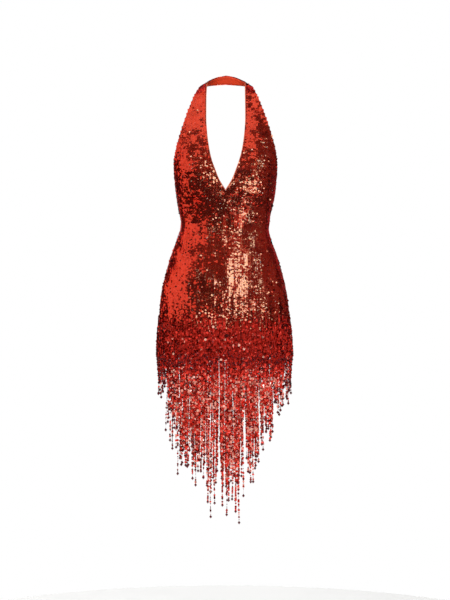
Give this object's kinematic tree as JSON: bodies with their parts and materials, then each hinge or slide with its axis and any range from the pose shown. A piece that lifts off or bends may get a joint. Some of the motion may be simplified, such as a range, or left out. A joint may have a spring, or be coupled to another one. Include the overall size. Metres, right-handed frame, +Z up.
{
  "type": "sequin halter mini dress",
  "caption": "Sleeveless halter mini dress of sequined tulle, with a deep V neckline, an open back, a band behind the neck and a long pointed sequin fringe below the hem.",
  "frame": {"origin": "middle of the neck band's inner face at the nape, where the wearer's neck holds the dress", "axes": "+Z up, -Y towards the front of the dress, +X to the right of someone looking at its front"},
  "size_m": [0.3766, 0.2508, 1.2325],
  "materials": {
    "sequin_cloth": "red tulle covered with glossy round metallic red sequins",
    "lining": "smooth matte orange-red lining cloth",
    "binding": "narrow satin bias binding, orange-red",
    "fringe": "hanging strands of small metallic red sequins and beads on thread"
  },
  "bodies": {
    "root": {"front_panel": "sequin_cloth", "back_left_panel": "sequin_cloth", "back_right_panel": "sequin_cloth", "neck_band": "sequin_cloth", "neck_band_lining": "lining", "neckline_binding_left": "binding", "neckline_binding_right": "binding", "fringe_tiers_front": "fringe", "fringe_tiers_back": "fringe", "fringe_fall_front": "fringe", "fringe_fall_back": "fringe"}
  },
  "joints": []
}
